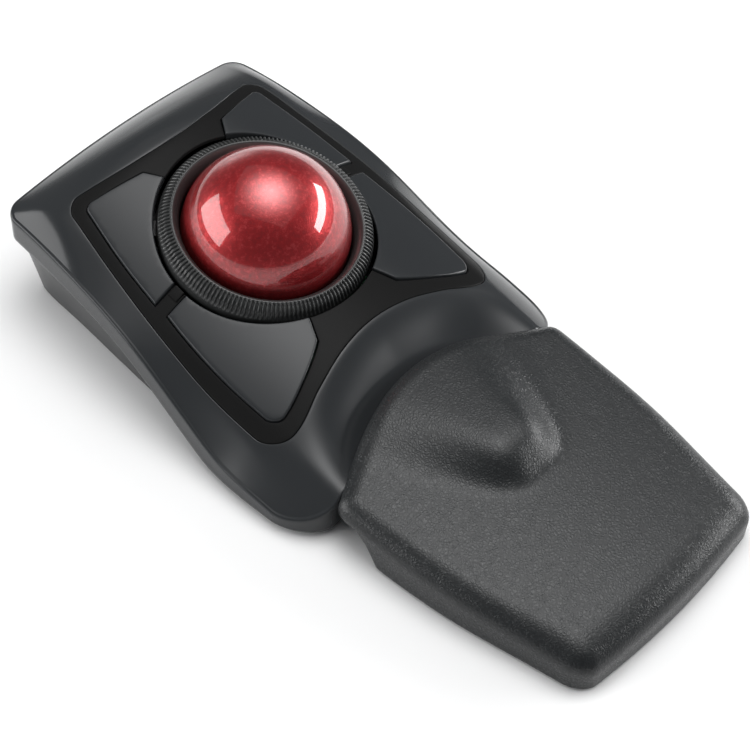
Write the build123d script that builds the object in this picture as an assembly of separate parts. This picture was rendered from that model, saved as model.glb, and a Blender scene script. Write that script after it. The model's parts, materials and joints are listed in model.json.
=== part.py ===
from build123d import *
import math
import os

# Large-ball desktop trackball with a detachable padded wrist rest.
# Row frame: +X to the user's right, +Y away from the user, +Z up, z = 0 on the desk.
# Everything is drawn with the ball's centre above x = y = 0 and moved by SHIFT_Y at the end,
# so that the origin comes out under the middle of the whole object.

# ---- driving dimensions, mm ----
BALL_D = 55.0
BALL_Z = 37.5
DECK_TILT = 12.5
DECK_Z = 42.5
DECK_CROWN = 0.00462
BACK_Y = 67.0
REST_FRONT_Y = -172.0
WALL = 2.4
BEZEL_T = 1.2
FIT_GAP = 0.35
FOOT_H = 1.2
FLOOR_T = 2.0
BUTTON_PROUD = 0.7
BUTTON_T = 2.3
BUTTON_TRAVEL = 0.8
PAD_SKIRT = 1.6
TRAY_T = 1.6
AA_D = 14.5
AA_LENGTH = 50.5
BOARD_T = 1.6
BOARD_Z = 5.0

SCREW_R = 1.5
SCREW_HEAD_R = 2.6
SCREW_HEAD_T = 1.2
FOOT_R = 4.5
FOOT_SET = 0.6
BASE_INSET = 6.4
SOCKET_TOP = -1.6
RING_LEG_R = 30.4
RING_ROOF_Z = 2.6
HUMP_H = 6.0
HUMP_LENGTH = 44.0
HUMP_TIP_Y = -122.0
PAD_REAR_Z = 22.3
SWITCH_SIZE = (6.5, 12.8, 5.8)
UNDER_DEPTH = 120.0

# ---- side lip, back roll and front valley of the cover ----
LIP_BACK_Z = 35.3
LIP_FRONT_Z = 4.5
LIP_MID_Y = -15.0
LIP_SOFTNESS = 15.0
SKIRT_H = 9.0
SKIRT_LOW_Z = 2.0
SIDE_ROLL_X = 44.0
ROLL_Y = 38.0
BACK_EDGE_Z = 39.0
BACK_EDGE_CROWN = 0.0013
VALLEY_DEPTH = 16.0
VALLEY_LENGTH = 16.0
VALLEY_HALF_WIDTH = 47.0
ARCH_Y = -46.0

# ---- scroll ring, in the tilted deck frame, radius and height from the ball's centre ----
RING_IN_R = 28.0
RING_LIP_R = 30.6
RING_LIP_Z = 6.75
RING_OUT_R = 34.8
RING_FOOT_Z = -1.5
WELL_R = 35.9
RUN_GAP = 0.05
SOCKET_R = 28.1
SOCKET_T = 2.0
CODE_R = 33.0

SHIFT_Y = -(BACK_Y + REST_FRONT_Y) / 2
SLOPE = math.tan(math.radians(DECK_TILT))
DECK = Location((0, 0, BALL_Z), (DECK_TILT, 0, 0))
FLOOR_Z = FOOT_H
FLOOR_TOP = FLOOR_Z + FLOOR_T


# ---- places, seen from above, mm ----
BUTTON_STEMS = {"back": (36.0, 26.0), "front": (38.0, -28.0)}
BATTERY_Y = (32.2, 47.2)
BATTERY_Z = FLOOR_TOP + AA_D / 2 + 1.2
BAY_HALF_X = 30.5
BAY_Y = (23.6, 56.0)
DOOR_GAP = 0.25
DOOR_HALF_X = 28.0
DOOR_Y = (25.4, 54.6)
RECEIVER_SIZE = (12.0, 18.0, 5.6)
RECEIVER_AT = (40.5, 7.0)
SOCKET_LEGS = [(20.0, 18.5), (-20.0, 18.5), (20.0, -18.5), (-20.0, -18.5)]
COVER_SCREWS = [(40.0, 54.0), (-40.0, 54.0), (46.0, -62.5), (-46.0, -62.5), (0.0, -61.0)]
BASE_FEET = [(41.0, 41.0), (-41.0, 41.0), (48.5, -46.0), (-48.5, -46.0)]
REST_FEET = [(36.0, -157.0), (-36.0, -157.0), (41.0, -106.0), (-41.0, -106.0)]
TONGUE_X = 24.0
TONGUE_HALF_X = 6.0
TONGUE_Y = (-99.0, -63.0)
TONGUE_Z = (FLOOR_TOP + 0.5, FLOOR_TOP + 2.5)
POWER_SWITCH_AT = (-1.5, -22.0)
NUB_X = 39.5
NUB_Y = (-0.4, 3.4)
POWER_TRAVEL = 3.0
CONNECT_AT = (0.0, -38.0)
CONNECT_R = 2.6
SENSOR_DROP = 25.0
BEARING_DROP = 38.0
BEARING_R = 1.25
ENCODER_AT = 135.0

# ---- surfaces ----
def deck_z(x, y):
    """The crowned, sloping surface that the bezel and the buttons lie in."""
    return DECK_Z + SLOPE * y - DECK_CROWN * x * x


def lip_x(y):
    """Half width of the cover at its side lip."""
    return 57.6 - 0.085 * y - 0.006 * min(0.0, y + 45) ** 2


def lip_z(y):
    """Height of the side lip, level at the back and diving to the desk at the front."""
    return LIP_FRONT_Z + (LIP_BACK_Z - LIP_FRONT_Z) / (1 + math.exp(-(y - LIP_MID_Y) / LIP_SOFTNESS))


def arch_y(x):
    """The bezel's front edge, arched up behind the wrist rest."""
    return ARCH_Y - 9.0 * min(1.0, abs(x) / 42.0) ** 1.7


def back_edge_z(x):
    return BACK_EDGE_Z - BACK_EDGE_CROWN * x * x


def rolled_z(x, y):
    """The deck surface with the wide rounded band at the back."""
    z = deck_z(x, y)
    if y > ROLL_Y:
        share = ((y - ROLL_Y) / (BACK_Y - ROLL_Y)) ** 2
        z -= share * (deck_z(x, BACK_Y) - back_edge_z(x))
    return z


def cover_z(x, y):
    """The cover's outer skin: deck, back roll, side roll down to the lip, and front valley."""
    z = rolled_z(x, y)
    side = max(0.0, (abs(x) - SIDE_ROLL_X) / (lip_x(y) - SIDE_ROLL_X))
    z -= side ** 2 * (rolled_z(lip_x(y), y) - lip_z(y))
    ahead = arch_y(x) - y
    if ahead > 0:
        across = min(1.0, abs(x) / VALLEY_HALF_WIDTH) ** 2.2
        depth = VALLEY_DEPTH * (1 - math.exp(-((ahead / VALLEY_LENGTH) ** 1.6)))
        z -= depth * math.cos(math.pi / 2 * across) ** 2
    return z


def under(height, drop=0.0, x_half=72, y_low=-96, y_high=80, step=(6.0, 9.0)):
    """Everything below a height surface: the surface swept straight down."""
    columns = int(2 * x_half / step[0])
    rows = int((y_high - y_low) / step[1])
    grid = []
    for i in range(columns + 1):
        x = -x_half + i * 2 * x_half / columns
        line = []
        for j in range(rows + 1):
            y = y_low + j * (y_high - y_low) / rows
            line.append(Vector(x, y, height(x, y) - drop))
        grid.append(line)
    skin = Face.make_surface_from_array_of_points(grid, tol=0.05)
    return Solid.extrude(skin, Vector(0, 0, -UNDER_DEPTH))



# ---- outlines, seen from above ----
def mirrored(right_side):
    """A closed face from curves that run down the right side, from x = 0 to x = 0."""
    left_side = [edge.mirror(Plane.YZ) for edge in right_side]
    return Face(Wire(list(right_side) + left_side))


def grown(face, amount, per_edge=5):
    """The face redrawn with one smooth edge, moved out, or in for a negative amount."""
    places = []
    normals = []
    for edge in face.outer_wire().order_edges():
        for i in range(per_edge):
            along = edge % ((i + 0.5) / per_edge)
            places.append(edge @ ((i + 0.5) / per_edge))
            normals.append(Vector(along.Y, -along.X))
    turning = sum(a.X * b.Y - b.X * a.Y for a, b in zip(places, places[1:] + places[:1]))
    outwards = amount * math.copysign(1, turning)
    points = [place + normal * outwards for place, normal in zip(places, normals)]
    return Face(Wire([Spline(points, periodic=True)]))


def group(shapes):
    """Separate solids kept together as one node."""
    return Compound([solid for shape in shapes for solid in shape.solids()])


def standing(face, low=-5.0, high=90.0):
    """A vertical prism on an outline."""
    return extrude(face.moved(Location((0, 0, low))), high - low, dir=(0, 0, 1))


def cover_outline(corner_x=46.0, corner_y=61.0):
    side = Spline([(lip_x(y), y) for y in (corner_y, 35, 7, -21, -45, -62)])
    back = Line((0, BACK_Y), (corner_x, BACK_Y))
    back_corner = Spline([(corner_x, BACK_Y), (lip_x(corner_y), corner_y)], tangents=[(1, 0), side % 0])
    front_corner = Spline([(lip_x(-62), -62), (48, -78)], tangents=[side % 1, (-1, 0.1)])
    front = Spline([(48, -78), (24, -73.5), (0, -72)], tangents=[(-1, 0.1), (-1, 0)])
    return mirrored([back, back_corner, side, front_corner, front])


def base_outline():
    """The cover's outline with rounder back corners, for what is set in from it."""
    return cover_outline(42.0, 56.0)


def bezel_outline():
    back = Spline([(0, 40.8), (18, 42.5), (36.5, 47.2)], tangents=[(1, 0), (1, 0.28)])
    side = Spline([(42.2, 43), (46.3, 20), (49.4, -2.7), (51.2, -26), (51.0, -46)])
    back_corner = Spline([(36.5, 47.2), (42.2, 43)], tangents=[(1, 0.28), side % 0])
    front_corner = Spline([(51.0, -46), (43.5, -54.9)], tangents=[side % 1, (-1, -0.05)])
    arch = Spline([(43.5, -54.9), (28, -50.8), (14, -47.3), (0, ARCH_Y)], tangents=[(-1, -0.05), (-1, 0)])
    return mirrored([back, back_corner, side, front_corner, arch])


def back_button_outline(gap=0.0):
    """The right rear button, or its opening, before the ring's circle is cut out of it."""
    rear = Line((17.4 - gap, 37.3 + gap), (35.6, 41.8 + gap))
    corner = Spline([(35.6, 41.8 + gap), (38.4 + gap, 40.4)], tangents=[(1, 0.25), (0.2, -1)])
    side_points = [(38.4 + gap, 40.4), (42.0 + gap, 22), (44.2 + gap, 4.2 - gap)]
    side = Spline(side_points, tangents=[(0.2, -1), (0.1, -1)])
    front = Line((44.2 + gap, 4.2 - gap), (20, 4.2 - gap))
    inner = Polyline((20, 4.2 - gap), (13.3 - gap, 31.2), (17.4 - gap, 37.3 + gap))
    return Face(Wire([rear, corner, side, front] + inner.edges()))


def front_button_outline(gap=0.0):
    """The right front button, or its opening, before the ring's circle is cut out of it."""
    rear = Line((20, -1.2 + gap), (44.1 + gap, -1.2 + gap))
    side_points = [(44.1 + gap, -1.2 + gap), (46.0 + gap, -22), (45.6 + gap, -45)]
    side = Spline(side_points, tangents=[(0.15, -1), (-0.06, -1)])
    corner = Spline([(45.6 + gap, -45), (41.5, -49.2 - gap)], tangents=[(-0.06, -1), (-1, 0.12)])
    front_points = [(41.5, -49.2 - gap), (30, -45.9 - gap), (18 - gap, -40.2 - gap)]
    front = Spline(front_points, tangents=[(-1, 0.12), (-1, 0.6)])
    inner = Polyline((18 - gap, -40.2 - gap), (14.4 - gap, -33.3), (20, -1.2 + gap))
    return Face(Wire([rear, side, corner, front] + inner.edges()))


def rest_outline():
    rear = Spline([(0, -63), (25, -67.8), (40, -74.3), (49, -79.2)], tangents=[(1, 0), (1, -0.5)])
    corner = Spline([(49, -79.2), (51, -84)], tangents=[(1, -0.5), (0, -1)])
    side = Spline([(51, -84), (48.8, -125), (44.2, -152), (42.5, -162)])
    front_corner = Spline([(42.5, -162), (36, -169.8)], tangents=[side % 1, (-1, -0.12)])
    front = Spline([(36, -169.8), (0, REST_FRONT_Y)], tangents=[(-1, -0.12), (-1, 0)])
    return mirrored([rear, corner, side, front_corner, front])


# ---- shared cutting tools ----
def round_bar(r, length, place):
    """A cylinder that starts at the place's origin and runs along its +Z."""
    return place * Cylinder(r, length, align=(Align.CENTER, Align.CENTER, Align.MIN))


def block(x_range, y_range, z_range):
    size = [b - a for a, b in (x_range, y_range, z_range)]
    corner = (x_range[0], y_range[0], z_range[0])
    return Pos(*corner) * Box(*size, align=(Align.MIN, Align.MIN, Align.MIN))


def revolved(points):
    """A ring turned about the tilted deck axis from a closed (radius, height) profile."""
    profile = make_face(Plane.XZ * Polyline(*points, close=True))
    return DECK * revolve(profile, Axis.Z)


def well(r):
    """The round well that the scroll ring sits in, square to the deck."""
    return DECK * Cylinder(r, 80)


def skirt_region(drop):
    """Everything below the side lip less a drop, level along X."""
    curve_y = [75, 50, 30, 10, -8, -22, -36]
    curve = Spline([(y, max(SKIRT_LOW_Z, lip_z(y) - drop)) for y in curve_y])
    tail = Polyline(curve @ 1, (-95, SKIRT_LOW_Z), (-95, -20), (75, -20), curve @ 0)
    return extrude(Plane.YZ * make_face([curve] + tail.edges()), 80, both=True)


DECK_STEP = (16.0, 40.0)
ABOVE_DECK = under(deck_z, -BUTTON_PROUD, step=DECK_STEP)
BEZEL_BACK = under(cover_z, BEZEL_T)
BUTTON_BACK = under(deck_z, BUTTON_T - BUTTON_PROUD, step=DECK_STEP)
COVER_TOP = under(cover_z)
SKIRT = skirt_region(SKIRT_H)
BUTTON_OUTLINES = {"back": back_button_outline, "front": front_button_outline}
SIDES = {"left": -1, "right": 1}


def on_side(shape, side):
    return shape if side == "right" else shape.mirror(Plane.YZ)


# ---- housing ----
def top_cover():
    outer = standing(grown(cover_outline(), 0)) & COVER_TOP
    inner = standing(grown(cover_outline(), -WALL)) & under(cover_z, WALL)
    shell = outer - inner - SKIRT
    pocket = standing(grown(bezel_outline(), 0.1)) - BEZEL_BACK
    hole = standing(grown(bezel_outline(), -1.6))
    return shell - pocket - hole


def bezel():
    plate = (standing(grown(bezel_outline(), 0)) & COVER_TOP) - BEZEL_BACK
    nub = block((30, NUB_X), NUB_Y, (20, 60)) & ABOVE_DECK - BEZEL_BACK
    plate = plate + nub + nub.mirror(Plane.YZ) - well(WELL_R)
    for side in SIDES:
        for outline in BUTTON_OUTLINES.values():
            plate -= on_side(standing(outline(FIT_GAP)), side)
    return plate


def button(side, row):
    """A key cap lying in the deck surface, with a stem that reaches down to its switch."""
    cap = (standing(BUTTON_OUTLINES[row]()) & ABOVE_DECK) - BUTTON_BACK - well(WELL_R + 0.1)
    x, y = BUTTON_STEMS[row]
    stem = standing(Pos(x, y) * Circle(2.2).face(), stem_foot_z(row), deck_z(x, y) - 0.6)
    return on_side(cap + stem, side)


def stem_foot_z(row):
    x, y = BUTTON_STEMS[row]
    return deck_z(x, y) - 6.5


def switch_top_z(row):
    return stem_foot_z(row) - BUTTON_TRAVEL - 0.2


def button_switches():
    """Four snap-action switches, one below each key stem, each with its small plunger."""
    made = []
    for side in SIDES:
        for row, (x, y) in BUTTON_STEMS.items():
            dx, dy, dz = SWITCH_SIZE
            top = switch_top_z(row)
            body = Pos(x, y, top - 0.6) * Box(dx, dy, dz, align=(Align.CENTER, Align.CENTER, Align.MAX))
            nub = round_bar(1.2, 0.6, Pos(x, y, top - 0.6))
            made.append(on_side(body + nub, side))
    return group(made)


def switch_brackets():
    """A small board on two posts under each button switch."""
    made = []
    for side in SIDES:
        for row, (x, y) in BUTTON_STEMS.items():
            top = switch_top_z(row) - 0.6 - SWITCH_SIZE[2]
            board = block((x - 4.5, x + 4.5), (y - 8.5, y + 8.5), (top - BOARD_T, top))
            for end in (-6.5, 6.5):
                board += standing(Pos(x, y + end) * Circle(1.8).face(), FLOOR_TOP, top - BOARD_T)
            made.append(on_side(board, side))
    return group(made)


def leaning(inset, low, high):
    """A form that leans outwards on its way up, set in from the cover's outline at the desk."""
    lean = math.tan(math.radians(11))
    sections = []
    for z in (low, high):
        outline = grown(base_outline(), -inset - BASE_INSET + (z - FLOOR_Z) * lean)
        sections.append(outline.moved(Location((0, 0, z))))
    return loft(sections)


def front_slots():
    """The two slots that the wrist rest's tongues slide into."""
    x_low = TONGUE_X - TONGUE_HALF_X - 0.5
    slot = block((x_low, TONGUE_X + TONGUE_HALF_X + 0.5), (-85, -58), (TONGUE_Z[0] - 0.4, TONGUE_Z[1] + 0.4))
    return slot + slot.mirror(Plane.YZ)


def base_shell():
    """The tray below the cover: leaning walls, a floor, and a rim that locates the cover."""
    walls = (leaning(0, FLOOR_Z, 31) & SKIRT) - leaning(WALL, FLOOR_TOP, 31.5)
    rim = standing(grown(base_outline(), -WALL - 0.2)) - standing(grown(base_outline(), -WALL - 1.8))
    rim = (rim & skirt_region(SKIRT_H - 2.5)) - skirt_region(SKIRT_H + 1.5)
    rim &= block((-80, 80), (-80, 80), (SKIRT_LOW_Z, 60))
    front = standing(grown(base_outline(), -WALL - 0.2), SKIRT_LOW_Z, FLOOR_TOP)
    front &= block((-80, 80), (-80, -36.5), (0, 10))
    shell = walls + rim + front
    shell -= block((-BAY_HALF_X + 1.5, BAY_HALF_X - 1.5), (BAY_Y[0] + 1.2, BAY_Y[1] - 1.2), (0, FLOOR_TOP))
    x, y = RECEIVER_AT
    w, d, h = RECEIVER_SIZE
    room = block((x - w / 2 - 0.4, x + w / 2 + 0.4), (y - d / 2 - 0.4, y + d / 2 + 0.4), (0, FLOOR_Z + h + 0.5))
    housing = block((x - w / 2 - 1.6, x + w / 2 + 1.6), (y - d / 2 - 1.6, y + d / 2 + 1.6), (FLOOR_Z, FLOOR_Z + h + 1.7))
    shell = shell + housing - room
    x, y = POWER_SWITCH_AT
    shell -= block((x - 3.0, x + 3.0 + POWER_TRAVEL), (y - 1.8, y + 1.8), (0, FLOOR_TOP))
    shell -= round_bar(CONNECT_R + 0.25, 10, Pos(*CONNECT_AT, -2))
    for x, y in COVER_SCREWS:
        shell -= round_bar(SCREW_R + 0.2, 10, Pos(x, y, -2))
        shell -= round_bar(SCREW_HEAD_R + 0.3, SCREW_HEAD_T, Pos(x, y, FLOOR_Z))
    for x, y in BASE_FEET:
        shell -= round_bar(FOOT_R, FOOT_SET, Pos(x, y, FLOOR_Z))
    for x in (-26.0, 26.0):
        for y in (-54.0, 12.0):
            shell += round_bar(2.0, BOARD_Z - FLOOR_TOP, Pos(x, y, FLOOR_TOP))
    return shell - front_slots()


def screw_post(x, y):
    """A post under the cover that takes one screw from below."""
    post = standing(Pos(x, y) * Circle(3.4).face(), FLOOR_TOP, 60) & under(cover_z, WALL - 0.4)
    return post - round_bar(SCREW_R, 8, Pos(x, y, FLOOR_TOP))


def case_screws():
    """Five self-tapping screws, driven up through the floor into the cover's posts."""
    made = []
    for x, y in COVER_SCREWS:
        head = round_bar(SCREW_HEAD_R, SCREW_HEAD_T - 0.2, Pos(x, y, FLOOR_Z + 0.2))
        shank = round_bar(SCREW_R, 8.5, Pos(x, y, FLOOR_Z + SCREW_HEAD_T))
        cross = Box(0.7, 3.4, 1.4) + Box(3.4, 0.7, 1.4)
        made.append(head + shank - Pos(x, y, FLOOR_Z + 0.2) * cross)
    return group(made)


def feet(places):
    made = [round_bar(FOOT_R, FOOT_H + FOOT_SET, Pos(x, y, 0)) for x, y in places]
    return group(made)


# ---- ball, socket and scroll ring, in the tilted deck frame ----
def towards(azimuth, drop):
    """A place at the ball's centre whose +Z points out and down through the socket wall."""
    return DECK * Rot(0, 0, azimuth) * Rot(0, 90 + drop, 0)


def ball():
    return DECK * Sphere(BALL_D / 2)


def ball_socket():
    """The cup below the ball with a flange for the ring, a guide wall and four legs."""
    outer_r = SOCKET_R + SOCKET_T
    rim_r = math.sqrt(SOCKET_R ** 2 - SOCKET_TOP ** 2)
    cup = DECK * Sphere(outer_r)
    cup -= DECK * Pos(0, 0, SOCKET_TOP) * Cylinder(60, 60, align=(Align.CENTER, Align.CENTER, Align.MIN))
    flange = [(rim_r, SOCKET_TOP), (32.2, SOCKET_TOP), (32.2, SOCKET_TOP - 1.8), (rim_r, SOCKET_TOP - 1.8)]
    guide_in = RING_LEG_R + RUN_GAP
    guide = [(guide_in, SOCKET_TOP - 1), (guide_in + 1.2, SOCKET_TOP - 1), (guide_in + 1.2, 1.5), (guide_in, 1.5)]
    cup += revolved(flange) + revolved(guide)
    for x, y in SOCKET_LEGS:
        cup += round_bar(2.6, 24.5, Pos(x, y, FLOOR_TOP))
    cup -= DECK * Sphere(SOCKET_R)
    cup -= round_bar(4.0, 10, Pos(0, 0, 5))
    cup -= round_bar(4.5, 10, towards(-90, SENSOR_DROP) * Pos(0, 0, 25))
    for turn in range(3):
        cup -= round_bar(BEARING_R, 6, towards(90 + 120 * turn, BEARING_DROP) * Pos(0, 0, 26))
    return cup


def support_bearings():
    """Three ceramic balls, held in the socket wall, that the big ball rolls on."""
    centre = BALL_D / 2 + BEARING_R + 0.12
    made = []
    for turn in range(3):
        made.append(towards(90 + 120 * turn, BEARING_DROP) * Pos(0, 0, centre) * Sphere(BEARING_R))
    return group(made)


def scroll_ring():
    """The ring round the ball: inner funnel, raised lip, ribbed shoulder and outer wall."""
    foot = RING_FOOT_Z
    funnel = [(RING_IN_R, foot), (RING_IN_R, 2.4), (28.5, 4.2), (29.4, 5.7), (RING_LIP_R, RING_LIP_Z)]
    shoulder = [(31.1, 6.6), (32.3, 6.1), (33.4, 5.3), (34.2, 4.1), (RING_OUT_R, 1.6), (RING_OUT_R, foot)]
    hollow = [(33.8, foot), (33.8, RING_ROOF_Z), (32.2, RING_ROOF_Z), (RING_LEG_R, 4.2), (RING_LEG_R, foot)]
    return revolved(funnel + shoulder + hollow)


def ring_code_strip():
    """A slotted cylinder wall hung under the ring that the encoder reads."""
    strip = revolved([(CODE_R - 0.3, -6.0), (CODE_R + 0.3, -6.0), (CODE_R + 0.3, RING_ROOF_Z), (CODE_R - 0.3, RING_ROOF_Z)])
    slots = []
    for turn in range(36):
        slot = Pos(CODE_R, 0, -4.4) * Box(2, 1.4, 1.8)
        slots.append(DECK * Rot(0, 0, turn * 10) * slot)
    return strip - slots


def ring_encoder():
    """The fork-shaped optical encoder that straddles the code strip."""
    body = Pos(CODE_R, 0, -6.2) * Box(4.6, 6, 4.2)
    gap = Pos(CODE_R, 0, -5.0) * Box(1.6, 7, 3.4)
    stand = Pos(CODE_R, 0, -9.3) * Box(4.6, 5, 2.0)
    return DECK * Rot(0, 0, ENCODER_AT) * (body + stand - gap)


def sensor_lens():
    return round_bar(4.3, 1.6, towards(-90, SENSOR_DROP) * Pos(0, 0, 30.4))


def ball_sensor():
    """The optical sensor behind the socket's window, on its own small board."""
    seat = towards(-90, SENSOR_DROP)
    return seat * Pos(0, 0, 34.0) * Box(9, 9, 4.0) + seat * Pos(0, 0, 36.8) * Box(15, 15, BOARD_T)


# ---- electronics, battery bay and switches ----
def main_board():
    board = block((-30, 30), (-57, 20.5), (BOARD_Z, BOARD_Z + BOARD_T))
    for x, y in SOCKET_LEGS:
        board -= round_bar(3.0, 10, Pos(x, y, 0))
    return board - round_bar(4.2, 10, Pos(0, -61, 0))


def board_parts():
    """The radio module, the controller chip and two connectors on the main board."""
    top = BOARD_Z + BOARD_T
    places = [((-24, -12), (-52, -36), 2.4), ((4, 14), (-50, -40), 1.4),
              ((-16.5, -10.5), (-33, -24), 4.0), ((10.5, 16.5), (-33, -24), 4.0)]
    made = [block(x_range, y_range, (top, top + height)) for x_range, y_range, height in places]
    return group(made)


def battery_tray():
    """Low walls round the two cells, open to the battery door below."""
    outer = block((-BAY_HALF_X, BAY_HALF_X), BAY_Y, (FLOOR_TOP, BATTERY_Z))
    inner_y = (BAY_Y[0] + 1.2, BAY_Y[1] - 1.2)
    return outer - block((-BAY_HALF_X + 1.2, BAY_HALF_X - 1.2), inner_y, (0, 40))


def battery(row):
    """One AA cell, its button end to the left or the right."""
    can = round_bar(AA_D / 2, AA_LENGTH - 1.5, Rot(0, 90, 0) * Pos(0, 0, -AA_LENGTH / 2))
    can += round_bar(2.75, 1.5, Rot(0, 90, 0) * Pos(0, 0, AA_LENGTH / 2 - 1.5))
    turned = can if row == 0 else can.mirror(Plane.YZ)
    return Pos(0, BATTERY_Y[row], BATTERY_Z) * turned


def battery_contacts():
    """A plate and a spring, or a plate and a dimple, at the ends of each cell."""
    made = []
    for row, y in enumerate(BATTERY_Y):
        for end in (-1, 1):
            plate = Pos(end * 29.0, y, BATTERY_Z - 1.5) * Box(0.6, 9, 8)
            is_spring = (end == -1) == (row == 0)
            reach = 28.7 - AA_LENGTH / 2
            cone = Cone(4.2, 2.2, reach) if is_spring else Cone(2.0, 1.4, reach)
            lean = Rot(0, -90 * end, 0)
            plate += Pos(end * (28.7 - reach / 2), y, BATTERY_Z) * lean * cone
            made.append(plate)
    return group(made)


def battery_door():
    """A flat lid in the floor, hinged on two tabs at its rear edge, with a snap at the front."""
    plate = block((-DOOR_HALF_X, DOOR_HALF_X), DOOR_Y, (FLOOR_Z + 0.1, FLOOR_TOP - 0.1))
    for x in (-16.0, 16.0):
        plate += block((x - 3, x + 3), (DOOR_Y[0] + 1, DOOR_Y[0] + 3), (FLOOR_TOP - 0.1, FLOOR_TOP + 1.2))
    return plate


def receiver():
    """The small radio receiver parked in its pocket in the floor, plug inwards."""
    x, y = RECEIVER_AT
    w, d, h = RECEIVER_SIZE
    cap = block((x - w / 2, x + w / 2), (y - d / 2, y - d / 2 + 6), (FLOOR_Z + 0.1, FLOOR_Z + h))
    plug = block((x - w / 2 + 0.3, x + w / 2 - 0.3), (y - d / 2 + 6, y + d / 2), (FLOOR_Z + 0.6, FLOOR_Z + h - 0.5))
    return cap + plug


def power_switch_knob():
    x, y = POWER_SWITCH_AT
    knob = block((x - 2.5, x + 2.5), (y - 1.5, y + 1.5), (FLOOR_Z - 0.4, FLOOR_TOP + 0.1))
    return knob + block((x - 4.5, x + 4.5), (y - 3, y + 3), (FLOOR_TOP + 0.1, FLOOR_TOP + 0.8))


def power_switch_body():
    x, y = POWER_SWITCH_AT
    return block((x - 5, x + 8), (y - 3.5, y + 3.5), (FLOOR_TOP + 1.1, BOARD_Z))


def connect_button():
    low = round_bar(CONNECT_R, FLOOR_T + 0.3, Pos(*CONNECT_AT, FLOOR_Z - 0.2))
    return low + round_bar(CONNECT_R + 0.9, 0.6, Pos(*CONNECT_AT, FLOOR_TOP + 0.1))


def connect_switch():
    return Pos(*CONNECT_AT, BOARD_Z - 0.35) * Box(5, 5, 0.35, align=(Align.CENTER, Align.CENTER, Align.MIN))


# ---- wrist rest ----
def pad_z(x, y):
    """The padded top: crowned, falling to the front, with a teardrop hump at the rear."""
    z = PAD_REAR_Z - 0.0012 * x * x - 0.055 * (-63 - y)
    along = (y - HUMP_TIP_Y) / HUMP_LENGTH
    if along > 0:
        rise = 1 - math.exp(-((along / 0.28) ** 2))
        width = 9.0 + 12.0 * along
        z += HUMP_H * rise * math.exp(-((x / width) ** 2)) * max(0.0, 1 - 0.5 * along)
    return z


def rest_underside(raise_by):
    """Everything above the rest's underside, which lifts over the trackball's front."""
    path = Polyline((-180, FLOOR_Z + raise_by), (-97, FLOOR_Z + raise_by), (-93, 8 + raise_by),
                    (-88, 13 + raise_by), (-82, 14 + raise_by), (-55, 14 + raise_by), (-55, 60), (-180, 60),
                    close=True)
    return extrude(Plane.YZ * make_face(path), 80, both=True)


def clear_of_cover():
    return under(cover_z, -1.0, y_low=-89)


def rest_tray():
    """The rigid tray inside the rest, with two tongues that slide into the trackball's base."""
    form = standing(grown(rest_outline(), -PAD_SKIRT)) & rest_underside(0.0)
    tray = form - rest_underside(TRAY_T) - clear_of_cover()
    tray = max(tray.solids(), key=lambda solid: solid.volume)
    for side in (-1, 1):
        x_range = (side * TONGUE_X - TONGUE_HALF_X, side * TONGUE_X + TONGUE_HALF_X)
        tray += block(x_range, TONGUE_Y, TONGUE_Z)
        tray += block(x_range, (-101, -96.5), (FLOOR_Z, TONGUE_Z[1]))
    for x, y in REST_FEET:
        tray -= round_bar(FOOT_R, FOOT_SET, Pos(x, y, FLOOR_Z))
    return tray


def rest_pad():
    """The foam pad and its leather skin, wrapped over the tray and down round its edge."""
    roof = under(pad_z, 0.0, x_half=60, y_low=-180, y_high=-54, step=(6.0, 6.0))
    pad = (standing(grown(rest_outline(), 0)) & roof & rest_underside(0.0)) - clear_of_cover()
    inside = standing(grown(rest_outline(), -PAD_SKIRT)) - rest_underside(TRAY_T)
    pad -= inside
    for side in (-1, 1):
        pad -= block((side * TONGUE_X - 7, side * TONGUE_X + 7), (-103, -60), (0, TONGUE_Z[1] + 0.3))
    return max(pad.solids(), key=lambda solid: solid.volume)


# ---- everything, one file each ----
def parts():
    made = {
        "top_cover": top_cover() + [screw_post(x, y) for x, y in COVER_SCREWS] - front_slots(),
        "bezel_deck": bezel(),
        "base_shell": base_shell(),
        "case_screws": case_screws(),
        "base_feet": feet(BASE_FEET),
        "ball": ball(),
        "ball_socket": ball_socket(),
        "support_bearings": support_bearings(),
        "scroll_ring": scroll_ring(),
        "ring_code_strip": ring_code_strip(),
        "ring_encoder": ring_encoder(),
        "sensor_lens": sensor_lens(),
        "ball_sensor": ball_sensor(),
        "main_board": main_board(),
        "board_parts": board_parts(),
        "button_switches": button_switches(),
        "switch_brackets": switch_brackets(),
        "battery_tray": battery_tray(),
        "battery_contacts": battery_contacts(),
        "battery_door": battery_door(),
        "receiver": receiver(),
        "power_switch_knob": power_switch_knob(),
        "power_switch_body": power_switch_body(),
        "connect_button": connect_button(),
        "connect_switch": connect_switch(),
        "rest_tray": rest_tray(),
        "rest_pad": rest_pad(),
        "rest_feet": feet(REST_FEET),
    }
    for side in SIDES:
        for row in BUTTON_OUTLINES:
            made[f"{row}_{side}_button"] = button(side, row)
    for row, name in enumerate(("front", "rear")):
        made[f"{name}_battery"] = battery(row)
    return made


os.makedirs("parts", exist_ok=True)
for name, shape in parts().items():
    placed = shape.moved(Location((0, SHIFT_Y, 0)))
    export_step(placed, f"parts/{name}.step")
    print(f"{name}: {placed.volume:.0f} mm3, {len(placed.solids())} solids")
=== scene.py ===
import json
import math

import bmesh
import bpy
import numpy as np
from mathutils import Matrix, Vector
from mathutils.geometry import delaunay_2d_cdt


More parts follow.
